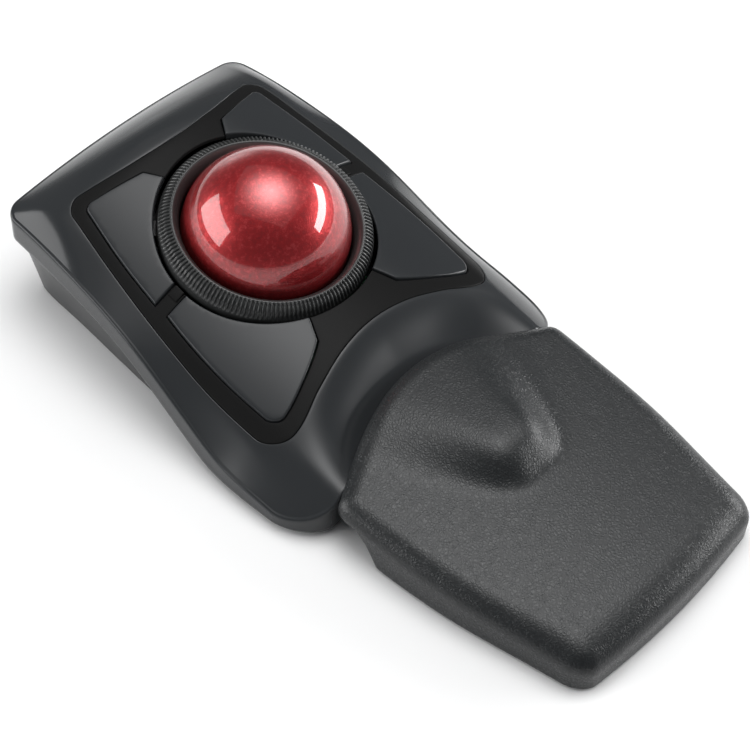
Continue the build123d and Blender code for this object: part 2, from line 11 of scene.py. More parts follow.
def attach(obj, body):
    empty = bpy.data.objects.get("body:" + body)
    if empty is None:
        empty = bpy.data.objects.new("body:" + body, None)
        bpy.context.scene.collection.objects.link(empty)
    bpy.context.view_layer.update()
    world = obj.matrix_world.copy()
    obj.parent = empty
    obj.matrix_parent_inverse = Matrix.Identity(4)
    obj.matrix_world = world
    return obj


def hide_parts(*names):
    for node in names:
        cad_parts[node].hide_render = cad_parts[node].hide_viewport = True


# Looks for the desktop trackball with its wrist rest. Shapes are worked out in millimetres with the
# ball's centre above x = y = 0, as in the CAD source, and moved by SHIFT_Y into the row frame.

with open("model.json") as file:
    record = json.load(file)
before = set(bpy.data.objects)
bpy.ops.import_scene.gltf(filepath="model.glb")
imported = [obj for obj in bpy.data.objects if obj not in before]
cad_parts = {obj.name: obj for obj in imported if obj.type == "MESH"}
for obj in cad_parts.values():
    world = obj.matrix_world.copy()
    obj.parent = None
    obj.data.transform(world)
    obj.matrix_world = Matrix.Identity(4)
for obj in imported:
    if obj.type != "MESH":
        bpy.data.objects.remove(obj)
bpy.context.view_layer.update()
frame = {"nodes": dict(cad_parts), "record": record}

MM = 0.001
BALL_R = 27.5
BALL_Z = 37.5
DECK_TILT = math.radians(12.5)
SLOPE = math.tan(DECK_TILT)
DECK_Z = 42.5
DECK_CROWN = 0.00462
BACK_Y = 67.0
REST_FRONT_Y = -172.0
SHIFT_Y = -(BACK_Y + REST_FRONT_Y) / 2
WELL_R = 35.9
KEY_PROUD = 0.7

# ---- side lip, back roll and front valley of the cover ----
LIP_BACK_Z = 35.3
LIP_FRONT_Z = 4.5
LIP_MID_Y = -15.0
LIP_SOFTNESS = 15.0
SKIRT_H = 9.0
SKIRT_LOW_Z = 2.0
SKIRT_EASE = 1.5
SIDE_ROLL_X = 44.0
ROLL_Y = 38.0
BACK_EDGE_Z = 39.0
BACK_EDGE_CROWN = 0.0013
ARCH_Y = -46.0
VALLEY_DEPTH = 16.0
VALLEY_LENGTH = 16.0
VALLEY_HALF_WIDTH = 47.0

# ---- the wrist rest's pad and its hump ----
PAD_REAR_Y = -63.0
PAD_REAR_Z = 22.3
PAD_CROWN = 0.0012
PAD_FALL = 0.055
HUMP_TIP_Y = -119.0
HUMP_LENGTH = 44.0
HUMP_H = 10.0
HUMP_RISE = 0.2
HUMP_TIP_HALF = 8.5
HUMP_SPREAD = 18.0
HUMP_FADE = 0.55


# ---- surfaces ----
def deck_z(x, y):
    """The crowned, sloping surface that the bezel and the keys lie in."""
    return DECK_Z + SLOPE * y - DECK_CROWN * x * x


def key_z(x, y):
    return deck_z(x, y) + KEY_PROUD


def lip_x(y):
    """Half width of the cover at its side lip."""
    return 57.6 - 0.085 * y - 0.006 * min(0.0, y + 45) ** 2


def lip_z(y):
    """Height of the side lip, level at the back and diving to the desk at the front."""
    return LIP_FRONT_Z + (LIP_BACK_Z - LIP_FRONT_Z) / (1 + math.exp(-(y - LIP_MID_Y) / LIP_SOFTNESS))


def arch_y(x):
    """The bezel's front edge, arched up behind the wrist rest."""
    return ARCH_Y - 9.0 * min(1.0, abs(x) / 42.0) ** 1.7


def rolled_z(x, y):
    """The deck surface with the wide rounded band at the back."""
    z = deck_z(x, y)
    if y > ROLL_Y:
        share = ((y - ROLL_Y) / (BACK_Y - ROLL_Y)) ** 2
        z -= share * (deck_z(x, BACK_Y) - (BACK_EDGE_Z - BACK_EDGE_CROWN * x * x))
    return z


def cover_z(x, y):
    """The cover's outer skin: deck, back roll, side roll down to the lip, and front valley."""
    z = rolled_z(x, y)
    side = max(0.0, (abs(x) - SIDE_ROLL_X) / (lip_x(y) - SIDE_ROLL_X))
    z -= side ** 2 * (rolled_z(lip_x(y), y) - lip_z(y))
    ahead = arch_y(x) - y
    if ahead > 0:
        across = min(1.0, abs(x) / VALLEY_HALF_WIDTH) ** 2.2
        depth = VALLEY_DEPTH * (1 - math.exp(-((ahead / VALLEY_LENGTH) ** 1.6)))
        z -= depth * math.cos(math.pi / 2 * across) ** 2
    return z


def pad_z(x, y):
    """The pad's top: crowned, falling towards the user, with a hump that widens and fades to the back."""
    z = PAD_REAR_Z - PAD_CROWN * x * x - PAD_FALL * (PAD_REAR_Y - y)
    along = (y - HUMP_TIP_Y) / HUMP_LENGTH
    if along > 0:
        rise = 1 - math.exp(-((along / HUMP_RISE) ** 2))
        across = math.exp(-(abs(x / (HUMP_TIP_HALF + HUMP_SPREAD * along)) ** 3.4))
        z += HUMP_H * rise * across * max(0.0, 1 - HUMP_FADE * along)
    return z


def skirt_z(y):
    """The skirt's lower edge, which eases to a thin strip round the front."""
    gap = lip_z(y) - SKIRT_H - SKIRT_LOW_Z
    return SKIRT_LOW_Z + (gap + math.sqrt(gap * gap + SKIRT_EASE)) / 2


# ---- outlines ----
def curve(points, start=None, end=None, count=24):
    """A smooth line through points, as count + 1 evenly spaced places."""
    p = np.array(points, float)
    t = np.concatenate([[0], np.cumsum(np.linalg.norm(np.diff(p, axis=0), axis=1))])
    tangent = np.zeros_like(p)
    for i in range(1, len(p) - 1):
        before = (p[i] - p[i - 1]) / (t[i] - t[i - 1])
        after = (p[i + 1] - p[i]) / (t[i + 1] - t[i])
        share = (t[i] - t[i - 1]) / (t[i + 1] - t[i - 1])
        tangent[i] = before * (1 - share) + after * share
    for i, j, given in ((0, 1, start), (-1, -2, end)):
        if given is not None:
            tangent[i] = np.array(given, float) / np.linalg.norm(given)
        else:
            chord = (p[j] - p[i]) / abs(t[j] - t[i]) * (1 if i == 0 else -1)
            tangent[i] = chord * 1.5 - tangent[j] * 0.5 if len(p) > 2 else chord
    line = []
    for i in range(len(p) - 1):
        h = t[i + 1] - t[i]
        for s in np.linspace(0, 1, 41)[(1 if i else 0):]:
            line.append(p[i] * (2 * s ** 3 - 3 * s ** 2 + 1) + tangent[i] * h * (s ** 3 - 2 * s ** 2 + s)
                        + p[i + 1] * (3 * s ** 2 - 2 * s ** 3) + tangent[i + 1] * h * (s ** 3 - s ** 2))
    line = np.array(line)
    run = np.concatenate([[0], np.cumsum(np.linalg.norm(np.diff(line, axis=0), axis=1))])
    even = np.linspace(0, run[-1], count + 1)
    return np.stack([np.interp(even, run, line[:, k]) for k in (0, 1)], 1)


def mirrored(pieces):
    """A closed anticlockwise loop from lines that run down the right side, from x = 0 to x = 0."""
    right = np.concatenate([piece[:-1] for piece in pieces] + [pieces[-1][-1:]])
    left = right[1:-1][::-1] * (-1, 1)
    return np.concatenate([right, left])[::-1]


def cover_outline(n=1):
    side = curve([(lip_x(y), y) for y in (61, 35, 7, -21, -45, -62)], count=64 * n)
    run = side[-1] - side[-2]
    away = side[1] - side[0]
    return mirrored([
        curve([(0, BACK_Y), (46, BACK_Y)], count=28 * n),
        curve([(46, BACK_Y), (lip_x(61), 61)], (1, 0), away, count=16 * n),
        side,
        curve([(lip_x(-62), -62), (48, -78)], run, (-1, 0.1), count=18 * n),
        curve([(48, -78), (24, -73.5), (0, -72)], (-1, 0.1), (-1, 0), count=32 * n)])


def bezel_outline(n=1):
    side = curve([(42.2, 43), (46.3, 20), (49.4, -2.7), (51.2, -26), (51.0, -46)], count=64 * n)
    return mirrored([
        curve([(0, 40.8), (18, 42.5), (36.5, 47.2)], (1, 0), (1, 0.28), count=28 * n),
        curve([(36.5, 47.2), (42.2, 43)], (1, 0.28), side[1] - side[0], count=16 * n),
        side,
        curve([(51.0, -46), (43.5, -54.9)], side[-1] - side[-2], (-1, -0.05), count=18 * n),
        curve([(43.5, -54.9), (28, -50.8), (14, -47.3), (0, ARCH_Y)], (-1, -0.05), (-1, 0),
              count=32 * n)])


def run_round(pieces):
    """A closed anticlockwise loop from lines that run clockwise, each from where the last one ends."""
    return np.concatenate([piece[:-1] for piece in pieces])[::-1]


def back_key_outline(gap=0.0):
    """The right back key; gap widens it into its opening."""
    back, front = 41.8 + gap, 4.2 - gap
    inner, middle, outer = 17.4 - gap, 38.4 + gap, 44.2 + gap
    return run_round([
        curve([(inner, 37.3 + gap), (35.6, back)], count=24),
        curve([(35.6, back), (middle, 40.4)], (1, 0.25), (0.2, -1), count=8),
        curve([(middle, 40.4), (42.0 + gap, 22), (outer, front)], (0.2, -1), (0.1, -1), count=44),
        curve([(outer, front), (20, front)], count=30),
        curve([(20, front), (13.3 - gap, 31.2)], count=20),
        curve([(13.3 - gap, 31.2), (inner, 37.3 + gap)], count=8)])


def front_key_outline(gap=0.0):
    """The right front key; gap widens it into its opening."""
    back, front = -1.2 + gap, -49.2 - gap
    inner, middle, outer = 14.4 - gap, 18 - gap, 45.6 + gap
    return run_round([
        curve([(20, back), (44.1 + gap, back)], count=30),
        curve([(44.1 + gap, back), (46.0 + gap, -22), (outer, -45)], (0.15, -1), (-0.06, -1), count=50),
        curve([(outer, -45), (41.5, front)], (-0.06, -1), (-1, 0.12), count=10),
        curve([(41.5, front), (30, -45.9 - gap), (middle, -40.2 - gap)], (-1, 0.12), (-1, 0.6), count=30),
        curve([(middle, -40.2 - gap), (inner, -33.3)], count=10),
        curve([(inner, -33.3), (20, back)], count=26)])


def rest_outline(n=1):
    side = curve([(51, -84), (48.8, -125), (44.2, -152), (42.5, -162)], count=56 * n)
    return mirrored([
        curve([(0, -63), (25, -67.8), (40, -74.3), (49, -79.2)], (1, 0), (1, -0.5), count=34 * n),
        curve([(49, -79.2), (51, -84)], (1, -0.5), side[1] - side[0], count=8 * n),
        side,
        curve([(42.5, -162), (36, -169.8)], side[-1] - side[-2], (-1, -0.12), count=12 * n),
        curve([(36, -169.8), (0, REST_FRONT_Y)], (-1, -0.12), (-1, 0), count=32 * n)])


def well_outline(r, count=220, first_h=4.9, tries=6):
    """The ring's well where its wall, square to the deck, meets the crowned deck surface."""
    loop = []
    for i in range(count):
        a = 2 * math.pi * i / count
        x, h = r * math.cos(a), first_h
        for _ in range(tries):
            y = r * math.sin(a) * math.cos(DECK_TILT) - h * math.sin(DECK_TILT)
            h += deck_z(x, y) - (BALL_Z + r * math.sin(a) * math.sin(DECK_TILT) + h * math.cos(DECK_TILT))
        loop.append((x, y))
    return np.array(loop)


def moved_out(loop, amount):
    """A loop with every place moved along its own outward normal."""
    ahead, behind = np.roll(loop, -1, axis=0), np.roll(loop, 1, axis=0)
    a = (ahead - loop) / np.linalg.norm(ahead - loop, axis=1)[:, None]
    b = (loop - behind) / np.linalg.norm(loop - behind, axis=1)[:, None]
    normal = np.stack([(a + b)[:, 1], -(a + b)[:, 0]], 1)
    size = np.linalg.norm(normal, axis=1)[:, None]
    mitre = np.clip(2 / np.maximum(size, 1e-6), 1, 3)
    return loop + normal / size * amount * mitre


def inset(loop, amount):
    """A loop drawn in by amount; places that would cross at a sharp corner gather at that corner."""
    moved = moved_out(loop, -amount)
    if amount <= 0:
        return moved
    ahead = np.roll(loop, -1, axis=0)
    run = ahead - loop
    length = (run ** 2).sum(1)
    room = []
    for place in moved:
        along = np.clip(((place - loop) * run).sum(1) / length, 0, 1)
        room.append(np.sqrt(((loop + run * along[:, None] - place) ** 2).sum(1).min()))
    good = np.array(room) > 0.97 * amount
    n = len(loop)
    for i in np.flatnonzero(~good):
        far = [min((j - i) % n, (i - j) % n) if good[j] else math.inf for j in range(n)]
        moved[i] = moved[int(np.argmin(far))]
    return moved


# ---- meshes ----
def to_row(x, y, z):
    return (x * MM, (y + SHIFT_Y) * MM, z * MM)


def from_deck(x, y, z):
    """A place in the tilted frame at the ball's centre, in desk millimetres."""
    c, s = math.cos(DECK_TILT), math.sin(DECK_TILT)
    return (x, y * c - z * s, BALL_Z + y * s + z * c)


def linked(name, data):
    """A new object in the scene that shows data."""
    obj = bpy.data.objects.new(name, data)
    bpy.context.scene.collection.objects.link(obj)
    return obj


def made_object(name, verts, faces, sharp=35):
    """A smooth-shaded object from millimetre places, with creases at angles over sharp degrees."""
    mesh = bpy.data.meshes.new(name)
    mesh.from_pydata([to_row(*v) for v in verts], [], faces)
    bm = bmesh.new()
    bm.from_mesh(mesh)
    bmesh.ops.remove_doubles(bm, verts=bm.verts, dist=1e-7)
    bmesh.ops.dissolve_degenerate(bm, edges=bm.edges, dist=1e-7)
    bmesh.ops.recalc_face_normals(bm, faces=bm.faces)
    for face in bm.faces:
        face.smooth = True
    limit = math.radians(sharp)
    for edge in bm.edges:
        if len(edge.link_faces) == 2 and edge.calc_face_angle() > limit:
            edge.smooth = False
    bm.to_mesh(mesh)
    bm.free()
    return linked(name, mesh)


def lofted(name, loops, sharp):
    """A closed skin over loops of equal length, the last loop joined to the first."""
    n = len(loops[0])
    verts = [tuple(v) for loop in loops for v in loop]
    faces = []
    for j in range(len(loops)):
        a, b = j * n, ((j + 1) % len(loops)) * n
        for i in range(n):
            k = (i + 1) % n
            faces.append((a + i, a + k, b + k, b + i))
    return made_object(name, verts, faces, sharp)


def region(kept, cuts):
    """The boundary loops of the polygon kept less the polygons in cuts, inside on the left."""
    verts, faces = [], []
    for loop in [kept] + cuts:
        faces.append(list(range(len(verts), len(verts) + len(loop))))
        verts += [Vector((float(a), float(b))) for a, b in loop]
    out, _, triangles, _, _, source = delaunay_2d_cdt(verts, [], faces, 1, 1e-5)
    following = {}
    for triangle, ids in zip(triangles, source):
        if list(ids) != [0]:
            continue
        for i in range(3):
            following[(triangle[i], triangle[(i + 1) % 3])] = True
    edges = {a: b for a, b in following if (b, a) not in following}
    loops = []
    while edges:
        start = next(iter(edges))
        loop, at = [], start
        while at in edges:
            loop.append(at)
            at = edges.pop(at)
        loops.append(np.array([tuple(out[i]) for i in loop]))
    return [spaced(loop) for loop in loops if len(loop) > 8]


def spaced(loop, least=0.35):
    """The loop without places that nearly coincide."""
    keep = [loop[0]]
    for place in loop[1:]:
        if np.linalg.norm(place - keep[-1]) >= least:
            keep.append(place)
    if np.linalg.norm(keep[0] - keep[-1]) < least:
        keep.pop()
    return np.array(keep)


def plate(name, loops, height, thickness, round_off, grid=1.1, steps=4):
    """A plate on a height surface with rounded edges, from boundary loops with the inside on the left."""
    verts, faces, rims = [], [], []

    def add(loop, drop):
        first = len(verts)
        verts.extend((a, b, height(a, b) - drop) for a, b in loop)
        return list(range(first, first + len(loop)))

    for loop in loops:
        bands = []
        for i in range(steps + 1):
            angle = math.pi / 2 * i / steps
            edge = inset(loop, round_off * (1 - math.sin(angle)))
            bands.append(add(edge, round_off * (1 - math.cos(angle))))
        bands.append(add(loop, thickness))
        for upper, lower in zip(bands, bands[1:]):
            for i in range(len(loop)):
                k = (i + 1) % len(loop)
                faces.append((upper[i], lower[i], lower[k], upper[k]))
        rims.append((bands[0], bands[-1]))
    for which, top in ((0, True), (1, False)):
        faces += filled(verts, [rim[which] for rim in rims], height, 0 if top else thickness, grid, top)
    return made_object(name, verts, faces)


def filled(verts, rings, height, drop, grid, upward):
    """Triangles over the area between rings, with extra places on a grid so that it can curve."""
    edge = np.array([verts[i][:2] for ring in rings for i in ring])
    ids = [i for ring in rings for i in ring]
    local, edges, at = [Vector((float(a), float(b))) for a, b in edge], [], 0
    for ring in rings:
        edges += [(at + i, at + (i + 1) % len(ring)) for i in range(len(ring))]
        at += len(ring)
    low, high = edge.min(0), edge.max(0)
    inner = []
    for i, x in enumerate(np.arange(low[0], high[0], grid)):
        for y in np.arange(low[1] + (i % 2) * grid / 2, high[1], grid):
            if ((edge - (x, y)) ** 2).sum(1).min() > (0.6 * grid) ** 2 and is_inside(edge, rings, x, y):
                inner.append((x, y))
    first = len(verts)
    verts.extend((x, y, height(x, y) - drop) for x, y in inner)
    ids += list(range(first, first + len(inner)))
    local += [Vector((float(a), float(b))) for a, b in inner]
    out, _, triangles, origin, _, _ = delaunay_2d_cdt(local, edges, [], 0, 1e-6)
    made = []
    for triangle in triangles:
        centre = np.mean([tuple(out[i]) for i in triangle], axis=0)
        if is_inside(edge, rings, *centre):
            for i in triangle:
                if not origin[i]:
                    raise RuntimeError(f"rings cross near {tuple(out[i])}")
            corner = [ids[origin[i][0]] for i in triangle]
            made.append(tuple(corner if upward else corner[::-1]))
    return made


def even(corners, step):
    """The sides of a polygon divided into equal short runs."""
    made = []
    for a, b in zip(corners, np.roll(corners, -1, axis=0)):
        count = max(1, int(round(np.linalg.norm(b - a) / step)))
        made += [a + (b - a) * i / count for i in range(count)]
    return np.array(made)


def joined(obj, other):
    """Puts other's mesh into obj."""
    bm = bmesh.new()
    bm.from_mesh(obj.data)
    bm.from_mesh(other.data)
    bm.to_mesh(obj.data)
    bm.free()
    bpy.data.objects.remove(other)


def is_inside(edge, rings, x, y):
    """Whether a place lies between the rings, by counting crossings."""
    odd, at = False, 0
    for ring in rings:
        a = edge[at:at + len(ring)]
        b = np.roll(a, -1, axis=0)
        at += len(ring)
        spans = (a[:, 1] > y) != (b[:, 1] > y)
        cross = a[:, 0] + (y - a[:, 1]) / np.where(spans, b[:, 1] - a[:, 1], 1) * (b[:, 0] - a[:, 0])
        odd ^= bool((spans & (cross > x)).sum() % 2)
    return odd


# ---- node helpers for materials ----
def material(name, colour, roughness, **sockets):
    mat = bpy.data.materials.new(name)
    mat.use_nodes = True
    bsdf = mat.node_tree.nodes["Principled BSDF"]
    bsdf.inputs["Base Color"].default_value = (*colour, 1)
    bsdf.inputs["Roughness"].default_value = roughness
    for socket, value in sockets.items():
        bsdf.inputs[socket.replace("_", " ")].default_value = value
    return mat


def node(mat, kind, links=(), **settings):
    """A new node; settings name its properties or its sockets, links are (socket, from node, output)."""
    made = mat.node_tree.nodes.new(kind)
    for key, value in settings.items():
        socket = made.inputs.get(key.replace("_", " "))
        if hasattr(made, key):
            setattr(made, key, value)
        elif socket is not None:
            socket.default_value = value
    for socket, source, output in links:
        mat.node_tree.links.new(source.outputs[output], made.inputs[socket])
    return made


def ramp(mat, source, output, stops):
    made = node(mat, "ShaderNodeValToRGB", [("Fac", source, output)])
    while len(made.color_ramp.elements) < len(stops):
        made.color_ramp.elements.new(0.5)
    for element, (at, colour) in zip(made.color_ramp.elements, stops):
        element.position = at
        element.color = (*colour, 1) if isinstance(colour, tuple) else (colour, colour, colour, 1)
    return made


def connect(mat, source, output, socket):
    bsdf = mat.node_tree.nodes["Principled BSDF"]
    mat.node_tree.links.new(source.outputs[output], bsdf.inputs[socket])


def moulded(name, colour, roughness, grain=900.0, depth=0.00002, vary=0.035, worn_by=0.015, **sockets):
    """Moulded plastic: fine spark texture, faint colour drift, gloss that varies with handling."""
    mat = material(name, colour, roughness, **sockets)
    place = node(mat, "ShaderNodeTexCoord")
    drift = node(mat, "ShaderNodeTexNoise", [("Vector", place, "Object")], Scale=38.0, Detail=4.0)
    dark = tuple(c * (1 - vary) for c in colour)
    light = tuple(min(1.0, c * (1 + vary)) for c in colour)
    connect(mat, ramp(mat, drift, "Fac", [(0.15, dark), (0.85, light)]), "Color", "Base Color")
    worn = ramp(mat, drift, "Fac", [(0.1, roughness - worn_by), (0.9, roughness + worn_by)])
    connect(mat, worn, "Color", "Roughness")
    spark = node(mat, "ShaderNodeTexNoise", [("Vector", place, "Object")], Scale=grain, Detail=2.0)
    bump = node(mat, "ShaderNodeBump", [("Height", spark, "Fac")], Strength=1.0, Distance=depth)
    connect(mat, bump, "Normal", "Normal")
    return mat


def red_resin():
    """Polished red with a fine pearl fleck that sparkles below a clear, smooth skin."""
    mat = material("ball_red", (0.42, 0.012, 0.018), 0.34, Coat_Weight=1.0, Coat_Roughness=0.035,
                   Coat_IOR=1.62, Specular_IOR_Level=0.6)
    place = node(mat, "ShaderNodeTexCoord")
    cloud = node(mat, "ShaderNodeTexNoise", [("Vector", place, "Object")], Scale=520.0, Detail=5.0,
                 Roughness=0.75)
    base = ramp(mat, cloud, "Fac", [(0.36, (0.25, 0.005, 0.008)), (0.52, (0.36, 0.010, 0.013)),
                                    (0.66, (0.52, 0.045, 0.050))])
    connect(mat, base, "Color", "Base Color")
    connect(mat, ramp(mat, cloud, "Fac", [(0.3, 0.45), (0.7, 0.75)]), "Color", "Metallic")
    fleck = node(mat, "ShaderNodeTexNoise", [("Vector", place, "Object")], Scale=2600.0, Detail=1.0)
    bump = node(mat, "ShaderNodeBump", [("Height", fleck, "Fac")], Strength=1.0, Distance=0.00006)
    connect(mat, bump, "Normal", "Normal")
    return mat


def leather():
    """Pebbled leatherette: cells with soft creases painted darker as shade, wrinkles, and a gloss on the
    high spots.
    """
    mat = material("pad_leather", (0.045, 0.048, 0.051), 0.45, Specular_IOR_Level=0.40, Sheen_Weight=0.02,
                   Sheen_Roughness=0.4)
    place = node(mat, "ShaderNodeTexCoord")
    warp = node(mat, "ShaderNodeTexNoise", [("Vector", place, "Object")], Scale=260.0, Detail=2.0)
    shift = node(mat, "ShaderNodeVectorMath", [(0, warp, "Color")], operation="SCALE")
    shift.inputs["Scale"].default_value = 0.0022
    moved = node(mat, "ShaderNodeVectorMath", [(0, place, "Object"), (1, shift, "Vector")],
                 operation="ADD")
    cells, fine = [node(mat, "ShaderNodeTexVoronoi", [("Vector", moved, "Vector")],
                        feature="DISTANCE_TO_EDGE", Scale=scale) for scale in (900.0, 2100.0)]
    pebble = ramp(mat, cells, "Distance", [(0.0, 0.0), (0.28, 1.0)])
    small = ramp(mat, fine, "Distance", [(0.0, 0.0), (0.3, 1.0)])
    wrinkle = node(mat, "ShaderNodeTexNoise", [("Vector", place, "Object")], Scale=190.0, Detail=4.0,
                   Distortion=0.8)
    both = node(mat, "ShaderNodeMath", [(0, pebble, "Color"), (1, small, "Color"), (2, pebble, "Color")],
                operation="MULTIPLY_ADD")
    height = node(mat, "ShaderNodeMath", [(0, both, "Value"), (1, wrinkle, "Fac")], operation="ADD")
    bump = node(mat, "ShaderNodeBump", [("Height", height, "Value")], Strength=1.0, Distance=0.000028)
    connect(mat, bump, "Normal", "Normal")
    # Base colour follows the pebbles' height: darker in the creases as painted shade, lighter on the pebble
    # tops.
    tone = ramp(mat, both, "Value", [(0.05, (0.010, 0.011, 0.012)), (0.9, (0.020, 0.022, 0.023))])
    connect(mat, tone, "Color", "Base Color")
    connect(mat, ramp(mat, both, "Value", [(0.0, 0.42), (1.0, 0.27)]), "Color", "Roughness")
    return mat


def brushed(name, colour, roughness):
    """Bare metal whose gloss varies finely."""
    mat = material(name, colour, roughness, Metallic=1.0)
    place = node(mat, "ShaderNodeTexCoord")
    lines = node(mat, "ShaderNodeTexNoise", [("Vector", place, "Object")], Scale=1200.0, Detail=3.0)
    gloss = ramp(mat, lines, "Fac", [(0.3, roughness * 0.7), (0.7, roughness * 1.3)])
    connect(mat, gloss, "Color", "Roughness")
    return mat


def board():
    """Solder mask with a faint maze of copper runs under it."""
    mat = material("board_green", (0.02, 0.12, 0.05), 0.35, Coat_Weight=0.4)
    place = node(mat, "ShaderNodeTexCoord")
    runs = node(mat, "ShaderNodeTexVoronoi", [("Vector", place, "Object")], distance="CHEBYCHEV",
                Scale=260.0)
    tone = ramp(mat, runs, "Distance", [(0.45, (0.015, 0.10, 0.04)), (0.5, (0.04, 0.17, 0.08))])
    connect(mat, tone, "Color", "Base Color")
    return mat


LOOKS = {
    "cover_plastic": moulded("cover_plastic", (0.027, 0.029, 0.031), 0.18, depth=0.000004,
                             Specular_IOR_Level=0.30),
    "bezel_plastic": moulded("bezel_plastic", (0.012, 0.012, 0.012), 0.22, depth=0.0000008,
                             Specular_IOR_Level=0.03),
    "button_plastic": moulded("button_plastic", (0.027, 0.029, 0.031), 0.16, depth=0.000002,
                              Specular_IOR_Level=0.22),
    "base_plastic": moulded("base_plastic", (0.022, 0.023, 0.024), 0.35, depth=0.000006),
    "ring_plastic": moulded("ring_plastic", (0.030, 0.031, 0.031), 0.32, depth=0.000008),
    "ball_resin": red_resin(),
    "inner_plastic": moulded("inner_plastic", (0.014, 0.014, 0.015), 0.45),
    "bearing_ceramic": moulded("bearing_ceramic", (0.80, 0.80, 0.76), 0.12, depth=0.000001, vary=0.03),
    "lens_plastic": moulded("lens_plastic", (0.55, 0.57, 0.60), 0.08, depth=0.000001,
                            Transmission_Weight=0.7),
    "board_green": board(),
    "switch_plastic": moulded("switch_plastic", (0.20, 0.20, 0.20), 0.42),
    "contact_steel": brushed("contact_steel", (0.60, 0.60, 0.58), 0.28),
    "screw_steel": brushed("screw_steel", (0.28, 0.28, 0.29), 0.35),
    "foot_rubber": moulded("foot_rubber", (0.022, 0.022, 0.022), 0.75, grain=600.0, depth=0.00004),
    "pad_leather": leather(),
    "battery_sleeve": moulded("battery_sleeve", (0.10, 0.10, 0.11), 0.25, depth=0.000002),
}


def dressed(obj, slot, body, *nodes):
    """Gives a new piece its material and its body, and hides the CAD nodes that it stands for."""
    obj.data.materials.append(LOOKS[slot])
    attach(obj, body)
    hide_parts(*nodes)
    return obj


# ---- top cover ----
def cover_piece():
    """The cover's skin: from the bezel's pocket over the top, round the lip, down the skirt, back inside."""
    gap, ledge, edge_r = 0.15, 1.2, 0.3
    lip_r, lip_squash, hem_r, wall, pocket = 1.1, 0.9, 0.5, 2.4, 1.3
    outer, inner = cover_outline(), moved_out(bezel_outline(), gap)
    shelf = moved_out(bezel_outline(), -ledge)
    loops = []

    def level(points, height, drop=0.0):
        return [(x, y, height(x, y) - drop) for x, y in points]

    loops.append(level(shelf, cover_z, pocket))
    loops.append(level(inner, cover_z, pocket))
    for angle in (0, 30, 60, 90):
        a = math.radians(angle)
        line = moved_out(inner, edge_r * (1 - math.cos(a)))
        loops.append(level(line, cover_z, edge_r * (1 - math.sin(a))))
    start, stop = moved_out(inner, edge_r), moved_out(outer, -lip_r)
    for even_share in np.arange(1, 41) / 40:
        share = min(1.0, even_share + 0.15 * math.sin(math.pi * even_share))
        loops.append(level(start * (1 - share) + stop * share, cover_z))
    top = [cover_z(x, y) for x, y in stop]
    for angle in (18, 36, 54, 72, 90):
        a = math.radians(angle)
        edge = moved_out(outer, -lip_r * (1 - math.sin(a)))
        loops.append([(x, y, z - lip_r * (1 - math.cos(a)) * lip_squash) for (x, y), z in zip(edge, top)])
    low = [skirt_z(y) for x, y in outer]
    crest = [z - lip_r * lip_squash for z in top]
    for share in (0.15, 0.35, 0.6, 0.8, 0.93):
        loops.append([(x, y, a * (1 - share) + b * share) for (x, y), a, b in zip(outer, crest, low)])
    for angle in (30, 60, 90):
        a = math.radians(angle)
        edge = moved_out(outer, -hem_r * math.sin(a))
        loops.append([(x, y, b + hem_r * (1 - math.sin(a)) * (1 - a)) for (x, y), b in zip(edge, low)])
    inside = moved_out(outer, -wall)
    loops.append([(x, y, b) for (x, y), b in zip(inside, low)])
    roof = [max(cover_z(x, y) - wall, b + 0.2) for (x, y), b in zip(inside, low)]
    loops.append([(x, y, z) for (x, y), z in zip(inside, roof)])
    for share in (0.25, 0.5, 0.75, 1.0):
        loops.append(level(inside * (1 - share) + shelf * share, cover_z, wall))
    return lofted("top_cover_shell", loops, sharp=50)


dressed(cover_piece(), "cover_plastic", "housing", "top_cover")


# ---- bezel and keys ----
KEYS = {"back": back_key_outline, "front": front_key_outline}
KEY_GAP = 0.35
NUB_X = (30.0, 39.5)
NUB_Y = (-0.3, 3.3)
WELL = well_outline(WELL_R)


def on_side(loop, side):
    return loop if side == "right" else (loop * (-1, 1))[::-1]


openings = [on_side(KEYS[row](KEY_GAP), side) for row in KEYS for side in ("left", "right")]
bezel = plate("bezel_plate", region(bezel_outline(2), [WELL] + openings), cover_z, 1.2, round_off=0.3)
for side in ("left", "right"):
    corners = [(NUB_X[0], NUB_Y[0]), (NUB_X[1], NUB_Y[0]), (NUB_X[1], NUB_Y[1]), (NUB_X[0], NUB_Y[1])]
    block = even(on_side(np.array(corners), side), 0.6)
    joined(bezel, plate(f"nub_{side}", region(block, [WELL]), key_z, 1.5, round_off=0.3))
dressed(bezel, "bezel_plastic", "housing", "bezel_deck")

for row in KEYS:
    for side in ("left", "right"):
        loops = region(on_side(KEYS[row](), side), [well_outline(WELL_R + 0.1)])
        key = plate(f"{row}_{side}_key", loops, key_z, 2.3, round_off=0.55)
        dressed(key, "button_plastic", f"key_{row}_{side}", f"{row}_{side}_button")


